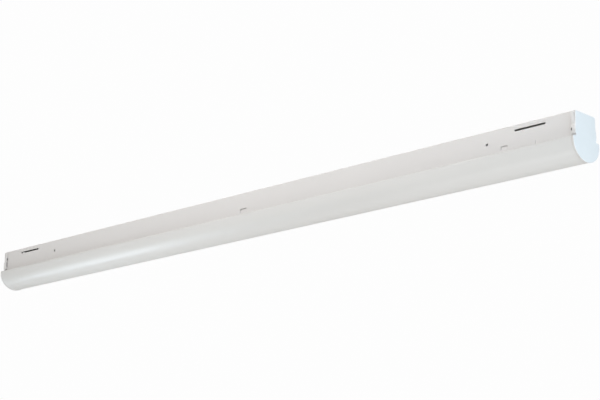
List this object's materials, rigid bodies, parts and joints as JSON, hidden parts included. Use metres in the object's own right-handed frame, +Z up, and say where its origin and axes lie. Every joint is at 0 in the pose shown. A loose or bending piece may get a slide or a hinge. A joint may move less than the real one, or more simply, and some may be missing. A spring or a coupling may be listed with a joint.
{
  "type": "strip light",
  "caption": "Long white ceiling strip light: folded steel channel, snap-in gear tray with driver and LED boards, frosted D-shaped lens and moulded end caps.",
  "frame": {"origin": "middle of the flat ceiling face of the channel", "axes": "+Z up, out of the ceiling face; +X along the light; -Y is the front seen in the picture"},
  "size_m": [1.2192, 0.0612, 0.0667],
  "materials": {
    "channel_paint": "satin white powder coat",
    "tray_paint": "high-reflectance white paint",
    "cap_plastic": "cool white moulded plastic",
    "lens_acrylic": "frosted acrylic",
    "board_white": "white solder mask",
    "led_phosphor": "yellow phosphor",
    "connector_plastic": "natural moulded plastic",
    "zinc_steel": "zinc-plated steel",
    "driver_metal": "plated sheet metal",
    "potting": "black potting compound",
    "black_plastic": "black moulded plastic",
    "grommet_rubber": "black rubber",
    "insulation_black": "PVC insulation",
    "insulation_white": "PVC insulation",
    "insulation_red": "PVC insulation",
    "insulation_blue": "PVC insulation",
    "insulation_violet": "PVC insulation",
    "insulation_pink": "PVC insulation",
    "insulation_green": "PVC insulation",
    "ground_green": "green-dyed zinc plating",
    "tinned_copper": "tinned copper",
    "disconnect_grey": "grey moulded plastic"
  },
  "bodies": {
    "channel": {"channel_housing": "channel_paint", "ground_screw": "ground_green", "ground_ring_terminal": "tinned_copper", "ground_lead": "insulation_green", "ground_lead_clips": "connector_plastic"},
    "tray": {"gear_tray": "tray_paint", "led_board_left": "board_white", "led_board_right": "board_white", "led_packages_left": "led_phosphor", "led_packages_right": "led_phosphor", "board_connectors": "connector_plastic", "board_screws": "zinc_steel", "driver_base": "driver_metal", "driver_lid": "driver_metal", "driver_potting": "potting", "driver_bushings": "black_plastic", "driver_screws": "zinc_steel", "output_lead_red": "insulation_red", "output_lead_blue": "insulation_blue", "jumper_lead_red": "insulation_red", "jumper_lead_blue": "insulation_blue", "dimming_lead_violet": "insulation_violet", "dimming_lead_pink": "insulation_pink", "input_lead_black": "insulation_black", "input_lead_white": "insulation_white", "lead_end_sleeves": "connector_plastic", "tray_grommet": "grommet_rubber", "dimming_lead_clip": "connector_plastic", "disconnect_plug": "connector_plastic"},
    "lens": {"lens_diffuser": "lens_acrylic"},
    "cap_left": {"end_cap_left": "cap_plastic"},
    "cap_right": {"end_cap_right": "cap_plastic"},
    "supply_socket": {"disconnect_socket": "disconnect_grey"}
  },
  "joints": [
    {"name": "tray_drop", "type": "slide", "parent": "channel", "child": "tray", "axis": [0, 0, -1], "range_m": [0, 0.06]},
    {"name": "lens_pull", "type": "slide", "parent": "tray", "child": "lens", "axis": [0, 0, -1], "range_m": [0, 0.045]},
    {"name": "cap_left_pull", "type": "slide", "parent": "channel", "child": "cap_left", "axis": [-1, 0, 0], "range_m": [0, 0.03]},
    {"name": "cap_right_pull", "type": "slide", "parent": "channel", "child": "cap_right", "axis": [1, 0, 0], "range_m": [0, 0.03]},
    {"name": "socket_unplug", "type": "slide", "parent": "tray", "child": "supply_socket", "axis": [1, 0, 0], "range_m": [0, 0.02]}
  ]
}
